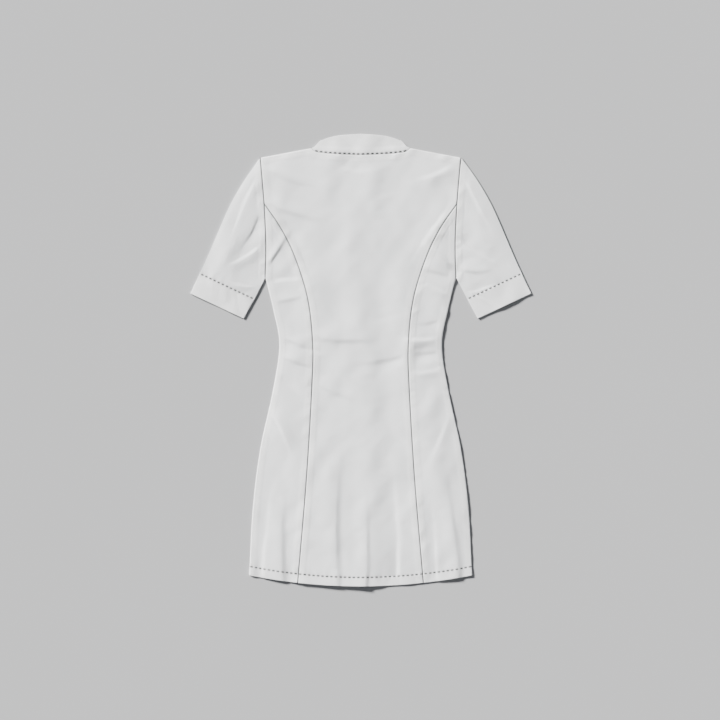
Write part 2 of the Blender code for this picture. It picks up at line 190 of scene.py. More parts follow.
# Finer creases, in millimetres, each strongest near its start, where the cloth is pulled
CREASES = (
    # name, start, middle, end, half width, height (below 0: a trough)
    ("underarm, right", (186, 184), (158, 214), (112, 244), 7, 2.2),
    ("underarm, right, 2", (183, 160), (150, 176), (98, 182), 7, -1.7),
    ("underarm, right, 3", (179, 128), (150, 138), (112, 160), 7, 1.6),
    ("underarm, left", (-187, 188), (-164, 226), (-132, 272), 6, 2.2),
    ("underarm, left, 2", (-183, 158), (-148, 168), (-92, 166), 7, -1.7),
    ("underarm, left, 3", (-177, 118), (-148, 118), (-104, 132), 6, 1.5),
    ("waist, right", (161, 44), (124, 32), (58, 44), 8, 2.1),
    ("waist, right, 2", (162, 16), (128, 4), (78, 14), 7, -1.7),
    ("waist, right, 3", (166, -16), (140, -30), (96, -26), 7, 1.5),
    ("waist, right, 4", (158, 78), (134, 66), (104, 72), 6, -1.0),
    ("waist, left", (-161, 50), (-128, 30), (-70, 22), 8, 2.0),
    ("waist, left, 2", (-163, 10), (-126, -4), (-66, -22), 8, 1.9),
    ("waist, left, 3", (-168, -30), (-142, -50), (-112, -84), 7, -1.4),
    ("small of back", (-95, 52), (-28, 30), (62, 50), 11, 1.9),
    ("small of back, 2", (95, 12), (52, -16), (-34, -10), 10, -1.6),
    ("small of back, 3", (-96, -36), (-58, -70), (14, -82), 11, 1.5),
    ("shoulder, right", (192, 392), (150, 360), (84, 352), 11, 2.0),
    ("shoulder, left", (-190, 390), (-140, 350), (-72, 350), 11, 1.9),
    ("blade, left", (-188, 318), (-130, 286), (-48, 280), 12, 2.0),
    ("blade, left, 2", (-170, 282), (-118, 232), (-92, 150), 11, -1.5),
    ("blade, right", (188, 306), (140, 262), (92, 170), 11, 1.9),
    ("nape", (-46, 396), (-6, 374), (48, 388), 12, -1.4),
    ("hip, left", (-182, -96), (-150, -140), (-126, -220), 10, 1.6),
    ("hip, right", (184, -104), (160, -160), (130, -240), 11, 1.4),
    ("skirt, left", (-152, -490), (-168, -350), (-150, -220), 13, 2.3),
    ("skirt, left, 2", (-204, -480), (-198, -340), (-172, -200), 12, -1.7),
    ("skirt, middle left", (-44, -500), (-62, -310), (-36, -130), 16, 2.7),
    ("skirt, middle", (4, -510), (20, -350), (2, -220), 12, 2.0),
    ("skirt, middle right", (70, -500), (76, -320), (52, -160), 13, -2.2),
    ("skirt, right", (150, -490), (146, -350), (136, -240), 13, -1.7),
    ("skirt, right, 2", (200, -480), (188, -340), (160, -190), 13, 2.4),
    ("sleeve, right", (206, 372), (236, 310), (276, 236), 9, 1.9),
    ("sleeve, right, 2", (196, 250), (230, 210), (282, 196), 8, -1.7),
    ("sleeve, right, 3", (193, 186), (224, 172), (276, 184), 8, 1.9),
    ("sleeve, right, 4", (212, 138), (240, 142), (286, 160), 7, -1.1),
    ("sleeve, left", (-204, 366), (-238, 302), (-262, 228), 8, 1.8),
    ("sleeve, left, 2", (-196, 232), (-232, 192), (-288, 182), 8, 1.9),
    ("sleeve, left, 3", (-198, 296), (-214, 246), (-252, 206), 7, -1.5),
    ("sleeve, left, 4", (-208, 146), (-236, 142), (-274, 160), 7, 1.2),
)
GENTLE_SIDE = 1.5  # a crease's two sides, as shares of its half width
STEEP_SIDE = 0.5
CREASE_WAVE = 23 * MM  # its width wavers
CREASE_WAVER = 0.25
CREASE_RISE = 0.22  # parts of its length in which it rises and fades
CREASE_FADE = 0.7
CREASE_STEPS = 12

# The cloth's uneven lie, in layers of long soft bumps
RUMPLES = (
    # about half the length, half the width (millimetres), heading in degrees, height
    (120, 44, 94, 1.4),
    (64, 24, 58, 0.7),
    (56, 21, 127, 0.6),
    (19, 10, 15, 0.16),
)

WAVE_TABLE = 4096  # heights that uneven waves and bumps are drawn from
BUMP_TABLE = 512

# Colours and finish
ONE_PLY = (0.80, 0.815, 0.83, 1)
MORE_PLIES = (0.85, 0.86, 0.87, 1)
# painted shade: the colour that seams and the cloth beside stitches are darkened towards
PAINTED_SHADE_COLOUR = (0.045, 0.047, 0.051, 1)
THREAD = (0.009, 0.0095, 0.011, 1)
STEEL = (0.62, 0.63, 0.65, 1)
FLOOR = (0.385, 0.39, 0.40, 1)
FLOOR_MOTTLE = 0.015
CLOTH_MOTTLE = 0.06  # how much its tone varies, in broad patches and along the yarns
YARN_MOTTLE = 0.05
CLOTH_ROUGHNESS = (0.76, 0.88)
STEEL_ROUGHNESS = (0.22, 0.42)
TWILL_PITCH = 0.7 * MM
WEFT_PITCH = 0.45 * MM
WAVE_UNIT = 20  # a wave texture runs through this many radians a metre at scale 1

# Studio
FLOOR_HALF = 15
LIGHTS = (
    # name, direction it comes from, width in degrees, strength, colour
    ("key", (-3.6, 2.9, 1.75), 9, 19.0, (1.0, 0.985, 0.96)),
    ("fill", (3.0, -1.6, 3.2), 40, 0.25, (0.95, 0.97, 1.0)),
)
HORIZON = (0.92, 0.93, 0.95, 1)
OVERHEAD = (0.15, 0.155, 0.165, 1)
OVERHEAD_FROM = 0.5  # sine of the angle upwards at which the backdrop is first that dark

# Camera: the drawing's frame is 720 pixels of 2 mm, and its middle is the tunic's
FRAME_SIDE = 1.44
LENS = 150
SENSOR = 36
FRAME_SHIFT = (-0.0014, 0.00015)  # the drawing isn't quite centred on its own frame


# ---------------------------------------------------------------- lines and grids


def smooth(table):
    """A fine line, in metres, along the smooth curve through a table of (x, y) in millimetres."""
    points = np.array(table, float) * MM
    padded = np.vstack([2 * points[0] - points[1], points, 2 * points[-1] - points[-2]])
    line = [points[0]]
    for a, b, c, d in zip(padded, padded[1:], padded[2:], padded[3:]):
        for t in np.linspace(0, 1, CURVE_STEPS + 1)[1:]:
            bend = (2 * a - 5 * b + 4 * c - d) * t * t + (3 * b - a - 3 * c + d) * t**3
            line.append(b + ((c - a) * t + bend) / 2)
    return np.array(line)


def lengths(line):
    """How far along a line each of its points is."""
    return np.concatenate([[0], np.cumsum(np.linalg.norm(np.diff(line, axis=0), axis=1))])


def spaced(line, count):
    """count + 1 evenly spaced points along a line."""
    along = lengths(line)
    wanted = np.linspace(0, along[-1], count + 1)
    return np.column_stack([np.interp(wanted, along, line[:, k]) for k in (0, 1)])


def curve(table, count):
    """count + 1 evenly spaced points along the smooth curve through a table."""
    return spaced(smooth(table), count)


def joined(*lines):
    """Lines that follow each other, as one."""
    return np.vstack([lines[0]] + [line[1:] for line in lines[1:]])


def mirrored(plan):
    """The same points on the wearer's other side."""
    return plan * (-1, 1)


def same(plan):
    """Leaves a plan on the wearer's right."""
    return plan


def both_sides(half):
    """A line from the centre to the wearer's right, continued to the left."""
    return joined(mirrored(half)[::-1], half)


def hem_y(x, above=0.0):
    """The hem, or a line that far above it. It bows down at the centre."""
    return HEM_LOW + above + HEM_BOW * (x / HEM_HALF) ** 2


def hem_line(inner_x, outer_x, count, above=0.0):
    """count + 1 points along the hem, or above it."""
    x = np.linspace(inner_x, outer_x, count + 1)
    return np.column_stack([x, hem_y(x, above)])


def front_ellipse(corner, depth, count, start=0.0):
    """Right half of an ellipse hung from a corner at the side of the neck, from a place x out."""
    turns = np.linspace(math.asin(start / corner[0]), math.pi / 2, count + 1)
    x, y = corner[0] * MM, corner[1] * MM
    return np.column_stack([x * np.sin(turns), y - depth * np.cos(turns)])


def patch(top, bottom, left, right):
    """Grid of plan points between four edges that share their corners. Rows run down."""
    u = np.linspace(0, 1, len(top))[None, :, None]
    v = np.linspace(0, 1, len(left))[:, None, None]
    across = (1 - u) * left[:, None] + u * right[:, None]
    down = (1 - v) * top[None] + v * bottom[None]
    corners = (1 - v) * ((1 - u) * top[0] + u * top[-1]) + v * ((1 - u) * bottom[0] + u * bottom[-1])
    return across + down - corners


def with_fine_lines(plan, axis, places):
    """A grid with extra lines close to each of the given rows (axis 0) or columns (axis 1)."""
    plan = np.moveaxis(plan, axis, 0)
    lines = []
    for number in range(len(plan) - 1):
        shares = {0.0}
        shares |= set(FINE_STEPS) if number in places else set()
        shares |= {1 - step for step in FINE_STEPS} if number + 1 in places else set()
        lines += [plan[number] + share * (plan[number + 1] - plan[number]) for share in sorted(shares)]
    return np.moveaxis(np.array(lines + [plan[-1]]), 0, axis)


def graded(plan, stitched=0):
    """A grid that is finest beside its four edges and its stitched row, where the cloth bends most."""
    rows, columns = plan.shape[:2]
    plan = with_fine_lines(plan, 0, {0, stitched, rows - 1})
    return with_fine_lines(plan, 1, {0, columns - 1})


def nearest(points, line):
    """How far each point is from a line, and how far along the line that is."""
    best = np.full(len(points), np.inf)
    where = np.zeros(len(points))
    for start, end, begun in zip(line, line[1:], lengths(line)):
        along = end - start
        length = np.linalg.norm(along)
        share = np.clip((points - start) @ along / length**2, 0, 1)
        gap = np.linalg.norm(points - start - share[:, None] * along, axis=1)
        closer = gap < best
        best = np.where(closer, gap, best)
        where = np.where(closer, begun + share * length, where)
    return best, where


def left_of(points, line, along):
    """Whether each point lies to the left of a line, at its nearest place along the line."""
    tangent = np.gradient(line, axis=0)
    way = lengths(line)
    x, y = (points[:, k] - np.interp(along, way, line[:, k]) for k in (0, 1))
    forward_x, forward_y = (np.interp(along, way, tangent[:, k]) for k in (0, 1))
    return forward_x * y > forward_y * x


def inward(line, beside):
    """Unit normals of a plan line, on the side where the line beside it lies."""
    tangent = np.gradient(line, axis=0)
    normal = np.column_stack([-tangent[:, 1], tangent[:, 0]])
    normal /= np.linalg.norm(normal, axis=1)[:, None]
    side = np.sign(np.sum(normal * (beside - line), axis=1))
    return normal * side[:, None]


def crossing(start, end, line):
    """Where the straight line through two points crosses a line."""
    forward = (end - start) / np.linalg.norm(end - start)
    away = line - start
    sides = forward[0] * away[:, 1] - forward[1] * away[:, 0]
    place = int(np.argmax(sides[:-1] * sides[1:] <= 0))
    share = sides[place] / (sides[place] - sides[place + 1])
    return line[place] + share * (line[place + 1] - line[place])


# ---------------------------------------------------------------- soft forms


def ease(share):
    """0 to 1 with soft ends."""
    share = np.clip(share, 0, 1)
    return share * share * (3 - 2 * share)


def quarter_round(share):
    """1 at share 0, falling along a quarter circle to 0 at share 1."""
    away = 1 - np.clip(share, 0, 1)
    return 1 - np.sqrt(1 - away * away)


def wobble(along, pitch, seed):
    """Uneven waves along a line, from -1 to 1, about one for each two pitches."""
    heights = np.random.default_rng(seed).uniform(-1, 1, WAVE_TABLE)
    place = along / pitch
    cell = np.floor(place).astype(int)
    share = ease(place - cell)
    return heights[cell % WAVE_TABLE] * (1 - share) + heights[(cell + 1) % WAVE_TABLE] * share


def rumple(points, length, width, heading, seed):
    """Uneven soft ground, from -1 to 1, with long bumps that lie along a heading in degrees."""
    heights = np.random.default_rng(seed).uniform(-1, 1, (BUMP_TABLE, BUMP_TABLE))
    turn = math.radians(heading)
    along = points @ (math.cos(turn), math.sin(turn)) / length
    across = points @ (-math.sin(turn), math.cos(turn)) / width
    place = np.column_stack([along, across]) + BUMP_TABLE / 2
    cell = np.floor(place).astype(int)
    share = ease(place - cell)
    column, row = cell[:, 0], cell[:, 1]
    low = heights[row, column] * (1 - share[:, 0]) + heights[row, column + 1] * share[:, 0]
    high = heights[row + 1, column] * (1 - share[:, 0]) + heights[row + 1, column + 1] * share[:, 0]
    return low * (1 - share[:, 1]) + high * share[:, 1]


def fold_height(points):
    """The solids' soft folds, added up."""
    height = np.zeros(len(points))
    for _, x, y, heading, half_length, half_width, rise in FOLDS:
        turn = math.radians(heading)
        away = points - (x * MM, y * MM)
        along = away @ (math.cos(turn), math.sin(turn)) / (half_length * MM)
        across = away @ (-math.sin(turn), math.cos(turn)) / (half_width * MM)
        height += rise * MM * np.exp(-(along**2) * FOLD_TAPER - across**2)
    return height


def crease_height(points):
    """The finer creases, each strongest near its start and steeper on one side."""
    height = np.zeros(len(points))
    for number, (_, start, middle, end, half_width, rise) in enumerate(CREASES):
        start, middle, end = (np.array(point) * MM for point in (start, middle, end))
        t = np.linspace(0, 1, CREASE_STEPS + 1)[:, None]
        line = (1 - t) ** 2 * start + 2 * t * (1 - t) * middle + t * t * end
        gap, along = nearest(points, line)
        share = along / lengths(line)[-1]
        width = half_width * MM * (1 + CREASE_WAVER * wobble(along, CREASE_WAVE, number))
        width *= np.where(left_of(points, line, along), GENTLE_SIDE, STEEP_SIDE)
        taper = ease(share / CREASE_RISE) * ease((1 - share) / CREASE_FADE)
        height += rise * MM * taper * np.exp(-((gap / width) ** 2))
    return height


def armhole_line(count):
    """Armhole seam, from the shoulder to the underarm."""
    return spaced(joined(smooth(ARMHOLE_TOP), smooth(ARMHOLE_LOW)), count)


def cuff_line():
    """Lower edge of a sleeve, from its underarm seam out."""
    return smooth((UNDERARM_SEAM[-1], SLEEVE_OUTER[-1]))


def cuff_row():
    """Ends of the line of a cuff's stitches: on the underarm seam, and on the outer fold."""
    cuff = cuff_line()
    start, end = cuff[[0, -1]] + inward(cuff, cuff + (0, 1))[[0, -1]] * CUFF_DEPTH
    inner = crossing(start, end, smooth(UNDERARM_SEAM))
    outer = crossing(start, end, smooth(SLEEVE_OUTER))
    return np.array([inner, outer])


def row_pitch(line):
    """The pitch nearest the wanted one that gives a row a whole number of stitches."""
    length = lengths(line)[-1]
    return length / round(length / STITCH_PITCH)


# Lines on the wearer's right that shape the cloth near them, with enough steps to look round
SEAMS = {
    "princess": curve(PRINCESS_SEAM, 60),
    "armhole": armhole_line(24),
    "neck": curve(NECK_SEAM, 36),
}
SEWN_EDGES = (
    curve(SIDE_SEAM, 48),
    curve(SHOULDER_SEAM, 4),
)
FOLDED_EDGES = (
    curve(UNDERARM_SEAM, 4),
    curve(SLEEVE_OUTER, 30),
    curve(COLLAR_SIDE, 16),
)
HEMS = (
    # line, depth
    (hem_line(0, HEM_HALF, 24), HEM_DEPTH),
    (spaced(cuff_line(), 6), CUFF_DEPTH),
)
COLLAR_EDGE = smooth(COLLAR_TOP)
STITCH_ROWS = {
    "hem": hem_line(0, HEM_HALF, 80, HEM_DEPTH),
    "cuff": cuff_row(),
    "neck": SEAMS["neck"][:-3] + (0, NECK_STITCH),  # it ends just short of the collar's fold
}


class Ground:
    """Where a set of plan points lies beside the seams, hems and edges that shape the cloth."""

    def __init__(self, points, sewn_edges=True):
        self.points = points
        self.right = np.column_stack([np.abs(points[:, 0]), points[:, 1]])
        self.side = np.where(points[:, 0] < 0, -1, 1)  # so that the two sides differ
        self.seams = {name: self.near(line) for name, line in SEAMS.items()}
        edges = [self.near(line) for line in SEWN_EDGES]
        self.sewn = edges if sewn_edges else []
        self.hems = [(*self.near(line), depth) for line, depth in HEMS]
        rows = [(*self.near(line), row_pitch(line)) for line in STITCH_ROWS.values()]
        self.rows = [(gap, along / pitch) for gap, along, pitch in rows]
        other = [self.near(line)[0] for line in FOLDED_EDGES]
        self.closed = np.min([gap for gap, _ in edges] + other, axis=0)
        self.free = np.min([self.near(COLLAR_EDGE)[0]] + [gap for gap, _, _ in self.hems], axis=0)

    def near(self, line):
        """How far each point is from a line of either side, and how far along it that is."""
        gap, along = nearest(self.right, line)
        return gap, along * self.side


def solid_underside(ground):
    """Underside of the solids' upper layer."""
    from_closed = 1 - np.exp(-ground.closed / ROLL)
    from_open = 1 - np.exp(-ground.free / REACH)
    loft = from_closed * (OPEN_SHARE + (1 - OPEN_SHARE) * from_open)
    height = WALL + GAP + LOFT * loft + fold_height(ground.points) * from_closed
    beside = ease((ground.right[:, 0] - PLACKET_FLAT) / PLACKET_FADE)
    under_collar = ease((ground.points[:, 1] - FRONT_BAND_TOP) / REACH)
    placket = (PLACKET_RISE + WALL + PLACKET_CLEAR) * (1 - beside) * (1 - under_collar)
    return (height**BLEND + placket**BLEND) ** (1 / BLEND)


def placket_climb(points):
    """How far the left front has climbed onto the right one's studs, from 0 to 1."""
    start, end = -PLACKET_COLUMNS[0] * MM, -PLACKET_COLUMNS[-1] * MM
    return ease((points[:, 0] - start) / (end - start))


def fronts_top(points, thickness):
    """Top of the layer below."""
    past = ease((points[:, 0] - OVERLAP) / OVERLAP)
    return PLACKET_RISE * placket_climb(points) * (1 - past) + thickness


def within(gap, reach, blur):
    """1 up to a reach from a line, falling softly to 0 past it."""
    return 1 - ease((gap - reach) / blur)


def ridge(gap, middle, width):
    """A soft ridge along a line, from 0 to 1."""
    return np.exp(-(((gap - middle) / width) ** 2))


def groove(gap, stitch):
    """How far a stitch row pulls the cloth in, most at each needle hole."""
    at_hole = 0.5 + 0.5 * np.cos(2 * math.pi * stitch)
    holes = BETWEEN_HOLES + (1 - BETWEEN_HOLES) * at_hole
    return GROOVE_DEPTH * holes * ridge(gap, 0, GROOVE_WIDTH)


def stitch_painted_shade(gap, stitch):
    """Painted shade on the cloth beside a stitch row, darkest at the middle of each stitch."""
    middles = 0.5 - 0.5 * np.cos(2 * math.pi * stitch)
    return STITCH_PAINTED_SHADE * middles * ridge(gap, 0, SHADE_WIDTH)


def seam_form(gap, along):
    """Beside a seam: the allowances under the cloth, and its puckers."""
    waves = 0
    for pitch, share, lean, seed in PUCKER_WAVES:
        waves = waves + share * wobble(along + lean * gap, pitch, seed)
    puckers = PUCKER * waves * ridge(gap, 0, PUCKER_REACH)
    return ALLOWANCE_RISE * within(gap, ALLOWANCE, ALLOWANCE_STEP) + puckers


def hem_form(gap, along, depth):
    """A turned hem: thicker up to its stitch row, and roped on both sides of it."""
    inside = ridge(gap, ROPE_PLACE * depth, ROPE_WIDTH * depth)
    outside = ridge(gap, depth + ABOVE_PLACE, ABOVE_WIDTH)
    rope = wobble(along + ROPE_LEAN * gap, ROPE_PITCH, seed=7) * inside
    rope += wobble(along, ABOVE_PITCH, seed=8) * outside
    return HEM_RISE * within(gap, depth, HEM_STEP) + ROPING * rope


def edge_rounding(ground, thickness):
    """How much each side of a free edge is rounded off."""
    return thickness / 2 * quarter_round(ground.free / (thickness / 2))


def upper_layer(points, sewn_edges=True, collar=False):
    """Top, thickness, plies and painted shade (each from 0 to 1) of the upper layer at plan points."""
    ground = Ground(points, sewn_edges)
    inside = 1 - np.exp(-ground.closed / EDGE_CALM)
    top = solid_underside(ground) + WALL
    top += crease_height(points) * inside
    for length, width, heading, height in RUMPLES:
        top += height * MM * rumple(points, length * MM, width * MM, heading, length) * inside
    plies = np.zeros(len(points))
    painted_shade = np.zeros(len(points))
    for name, (gap, along) in ground.seams.items():
        top += seam_form(gap, along) - VALLEY_DEPTH[name] * quarter_round(gap / VALLEY_WIDTH)
        plies = np.maximum(plies, within(gap, ALLOWANCE, ALLOWANCE_BLUR))
        # painted shade along the seam
        painted_shade = np.maximum(painted_shade, within(gap, 0, SEAM_PAINTED_SHADE_WIDTH[name]))
    for gap, along in ground.sewn:
        top += seam_form(gap, along) - EDGE_DROP * quarter_round(gap / EDGE_ROLL)
        plies = np.maximum(plies, within(gap, ALLOWANCE, ALLOWANCE_BLUR))
    thickness = np.full(len(points), PLY)
    for gap, along, depth in ground.hems:
        top += hem_form(gap, along, depth)
        band = within(gap, depth, BAND_BLUR)
        thickness += (HEM_THICKNESS - PLY) * band
        plies = np.maximum(plies, band)
    top = np.maximum(top, fronts_top(points, thickness) + thickness + CLEARANCE)
    for row in ground.rows:
        top -= groove(*row)
        # painted shade beside the stitches
        painted_shade = np.maximum(painted_shade, stitch_painted_shade(*row))
    if collar:
        thickness[:] = COLLAR_THICKNESS
        plies[:] = 1
    rounding = edge_rounding(ground, thickness)
    return top - rounding, thickness - 2 * rounding, plies, painted_shade


def lower_layer(points, climbs=False, sewn_edges=True, collar=False):
    """Underside, thickness, plies and painted shade (none) of the lower layer at plan points."""
    ground = Ground(points, sewn_edges)
    if collar:
        climbs = points[:, 0] < 0  # only its left end lies over the other one
    under = PLACKET_RISE * placket_climb(points) * climbs
    thickness = np.full(len(points), COLLAR_THICKNESS if collar else PLY)
    plies = np.full(len(points), 1.0 if collar else 0.0)
    for gap, _ in ground.sewn:
        under += FRONT_LIFT * quarter_round(gap / EDGE_ROLL)
        plies = np.maximum(plies, within(gap, ALLOWANCE, ALLOWANCE_BLUR))
    for gap, _, depth in ground.hems:
        band = within(gap, depth, BAND_BLUR)
        thickness += (HEM_THICKNESS - PLY) * band
        plies = np.maximum(plies, band)
    rounding = edge_rounding(ground, thickness)
    return under + rounding, thickness - 2 * rounding, plies, np.zeros(len(points))


# ---------------------------------------------------------------- meshes


def trimmed(plan):
    """A plan whose four edges stop just short of their seam lines, at its corners too."""
    cut = plan.copy()
    rows = {end: inward(plan[end], plan[beside]) for end, beside in ((0, 1), (-1, -2))}
    columns = {end: inward(plan[:, end], plan[:, beside]) for end, beside in ((0, 1), (-1, -2))}
    for end in (0, -1):
        cut[end] += rows[end] * SEAM_SLIT
        cut[:, end] += columns[end] * SEAM_SLIT
    for row in (0, -1):
        for column in (0, -1):
            a, b = rows[row][column], columns[column][row]
            cut[row, column] = plan[row, column] + (a + b) / (1 + a @ b) * SEAM_SLIT
    return cut


def on_grid(plan, layer, **how):
    """What a layer's function gives, as grids of the plan's shape."""
    return [value.reshape(plan.shape[:2]) for value in layer(plan.reshape(-1, 2), **how)]


def grid_faces(numbers, ring):
    """Quads between the neighbours of a grid of vertex numbers."""
    beside = np.roll(numbers, -1, axis=1)
    if not ring:
        numbers, beside = numbers[:, :-1], beside[:, :-1]
    corners = (numbers[:-1], beside[:-1], beside[1:], numbers[1:])
    return np.stack([corner.ravel() for corner in corners], axis=1)


def add_object(name, data):
    """A new object in the scene."""
    made = bpy.data.objects.new(name, data)
    bpy.context.scene.collection.objects.link(made)
    return made


def new_mesh(name, points, faces, material):
    """A mesh of one material."""
    mesh = bpy.data.meshes.new(name)
    mesh.from_pydata(points, [], faces)
    mesh.materials.append(material)
    return mesh


def shell(name, outside, inside, plies, painted_shade, material, ring=False):
    """A closed thin shell between two grids of points, riding on the part's one body."""
    rows, columns = outside.shape[:2]
    out = np.arange(rows * columns).reshape(rows, columns)
    into = out + rows * columns
    faces = [grid_faces(out, ring)[:, ::-1], grid_faces(into, ring)]
    for row, step in ((0, 1), (-1, -1)):
        faces.append(grid_faces(np.stack([out[row], into[row]]), ring)[:, ::step])
    open_sides = () if ring else ((0, -1), (-1, 1))
    for column, step in open_sides:
        faces.append(grid_faces(np.stack([out[:, column], into[:, column]]), False)[:, ::step])
    points = np.concatenate([outside.reshape(-1, 3), inside.reshape(-1, 3)])
    mesh = new_mesh(name, points.tolist(), np.concatenate(faces).tolist(), material)
    # plies, and the painted shade of seams and stitches, go to the material as point attributes
    for mark, values in (("plies", plies), ("painted_shade", painted_shade)):
        layer = mesh.attributes.new(mark, "FLOAT", "POINT")
        layer.data.foreach_set("value", np.tile(values.ravel(), 2).astype(np.float32))
    point_faces_out(mesh)
    mesh.shade_smooth()
    mesh.set_sharp_from_angle(angle=SHARP_ANGLE)
    made = add_object(name, mesh)
    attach(made, "root")
    return made


def point_faces_out(mesh):
    """Turns a closed mesh the right way out, by its volume."""
    count = len(mesh.vertices)
    points = np.zeros(count * 3)
    mesh.vertices.foreach_get("co", points)
    points = points.reshape(-1, 3)
    mesh.calc_loop_triangles()
    corners = np.zeros(len(mesh.loop_triangles) * 3, np.int32)
    mesh.loop_triangles.foreach_get("vertices", corners)
    a, b, c = (points[corners.reshape(-1, 3)[:, k]] for k in range(3))
    if np.sum(a * np.cross(b, c)) < 0:
        mesh.flip_normals()


def back_panel(name, plan, material, stitched):
    """A panel of the upper layer, with a row of its grid on the hem's stitches."""
    cut = trimmed(graded(plan, stitched))
    top, thickness, plies, painted_shade = on_grid(cut, upper_layer)
    inside = np.dstack([cut, top - thickness])
    return shell(name, np.dstack([cut, top]), inside, plies, painted_shade, material)


def front_panel(name, plan, material, climbs):
    """A panel of the lower layer."""
    cut = trimmed(graded(plan))
    under, thickness, plies, painted_shade = on_grid(cut, lower_layer, climbs=climbs)
    inside = np.dstack([cut, under + thickness])
    return shell(name, np.dstack([cut, under]), inside, plies, painted_shade, material)


def towards(start, end):
    """Unit vectors in plan from one line's points to another's."""
    step = end - start
    return step / np.linalg.norm(step, axis=1)[:, None]


def folded_edge(lower, upper, thickness):
    """Half a circle round a folded edge. Each layer gives its edge line and the line beside it."""
    arc = []
    radius = FOLD_RADIUS - thickness
    for step in range(FOLD_STEPS + 1):
        turn = math.pi * step / FOLD_STEPS
        share = (np.sign(2 * step - FOLD_STEPS) + 1) / 2
        edge = (1 - share) * lower[0] + share * upper[0]
        inside = (1 - share) * towards(*lower) + share * towards(*upper)
        inside /= np.linalg.norm(inside, axis=1)[:, None]
        plan = edge + inside * (FOLD_RADIUS - radius * math.sin(turn))[:, None]
        arc.append(np.column_stack([plan, FOLD_RADIUS - radius * math.cos(turn)]))
    return arc


def around(low, high, right_fold, left_fold, slit):
    """The columns of a flattened tube, from the middle of its lower layer round to it again."""
    middle = low.shape[1] // 2
    columns = [low[:, k] for k in range(middle, low.shape[1] - 1)]
    columns += right_fold
    columns += [high[:, k] for k in range(high.shape[1] - 2, 0, -1)]
    columns += left_fold
    columns += [low[:, k] for k in range(1, middle + 1 if slit else middle)]
    return np.stack(columns, axis=1)


def folded_tube(name, lower, upper, material, stitched=0, slit=0.0):
    """A tube pressed flat, or a band laid like one that is slit where its ends meet in front."""
    how = {"sewn_edges": False, "collar": slit > 0}
    lower, upper = (trimmed(graded(plan, stitched)) for plan in (lower, upper))
    under, low_thick, low_plies, low_painted_shade = on_grid(lower, lower_layer, **how)
    over, high_thick, high_plies, high_painted_shade = on_grid(upper, upper_layer, **how)
    right = [(plan[:, -1], plan[:, -2]) for plan in (lower, upper)]
    left = [(plan[:, 0], plan[:, 1]) for plan in (lower, upper)]
    skins = []
    for inner in (0, 1):
        below = np.dstack([lower, under + inner * low_thick])
        above = np.dstack([upper, over - inner * high_thick])
        right_fold = folded_edge(*right, inner * high_thick[:, -1])
        left_fold = folded_edge(*left, inner * high_thick[:, 0])[::-1]
        skin = around(below, above, right_fold, left_fold, slit)
        if slit:
            skin[:, 0, 0] += slit / 2
            skin[:, -1, 0] -= slit / 2
            skin[:, 0, 2] = inner * low_thick[:, 0]
            skin[:, -1, 2] = PLACKET_RISE + inner * low_thick[:, 0]
        skins.append(skin)
    marks = []
    # plies and painted shade, column by column round the tube
    for low, high in ((low_plies, high_plies), (low_painted_shade, high_painted_shade)):
        folds = [[high[:, column]] * (FOLD_STEPS + 1) for column in (-1, 0)]
        marks.append(around(low, high, *folds, slit))
    return shell(name, *skins, *marks, material, ring=not slit)


# ---------------------------------------------------------------- materials


def new_material(name, colour, roughness, metallic=0.0):
    """A Principled material, its node tree and its shader."""
    made = bpy.data.materials.new(name)
    made.use_nodes = True
    made.diffuse_color = colour
    shader = made.node_tree.nodes["Principled BSDF"]
    shader.inputs["Base Color"].default_value = colour
    shader.inputs["Roughness"].default_value = roughness
    shader.inputs["Metallic"].default_value = metallic
    return made, made.node_tree, shader


def toned(colour, share):
    """A colour made lighter or darker."""
    return (*(share * part for part in colour[:3]), 1)


def node(tree, kind, **values):
    """A node with its properties, and its inputs by name."""
    made = tree.nodes.new(kind)
    for key, value in values.items():
        if hasattr(made, key):
            setattr(made, key, value)
        else:
            made.inputs[key.replace("_", " ")].default_value = value
    return made


def feed(tree, socket, value):
    """Gives a socket a value of its own, or links it to another one."""
    if isinstance(value, bpy.types.NodeSocket):
        tree.links.new(value, socket)
    else:
        socket.default_value = value


def math_node(tree, operation, *values):
    """A Math node's result. Each input is a socket or a number."""
    made = node(tree, "ShaderNodeMath", operation=operation)
    for socket, value in zip(made.inputs, values):
        feed(tree, socket, value)
    return made.outputs[0]


def mixed(tree, share, a, b, blend="MIX"):
    """Two colours mixed by a share. Each is a socket or a value."""
    made = node(tree, "ShaderNodeMix", data_type="RGBA", blend_type=blend)
    for name, value in (("Factor", share), ("A", a), ("B", b)):
        feed(tree, made.inputs[name], value)
    return made.outputs["Result"]


def add_bump(tree, shader, height, strength, distance):
    """Fine relief on a shader's surface."""
    bump = node(tree, "ShaderNodeBump", Strength=strength, Distance=distance)
    tree.links.new(height, bump.inputs["Height"])
    tree.links.new(bump.outputs["Normal"], shader.inputs["Normal"])


def turned(tree, place, turn):
    """A place turned in the cloth's plane, by degrees."""
    made = node(tree, "ShaderNodeMapping")
    made.inputs["Rotation"].default_value = (0, 0, math.radians(turn))
    tree.links.new(place, made.inputs["Vector"])
    return made.outputs[0]


def wave(tree, place, pitch, turn):
    """Fine parallel ribs of a pitch, turned in the cloth's plane."""
    ribs = node(tree, "ShaderNodeTexWave", bands_direction="X")
    ribs.inputs["Scale"].default_value = 2 * math.pi / (WAVE_UNIT * pitch)
    ribs.inputs["Distortion"].default_value = 1.2
    ribs.inputs["Detail"].default_value = 1.0
    ribs.inputs["Detail Scale"].default_value = 0.25
    tree.links.new(turned(tree, place, turn), ribs.inputs["Vector"])
    return ribs.outputs["Fac"]


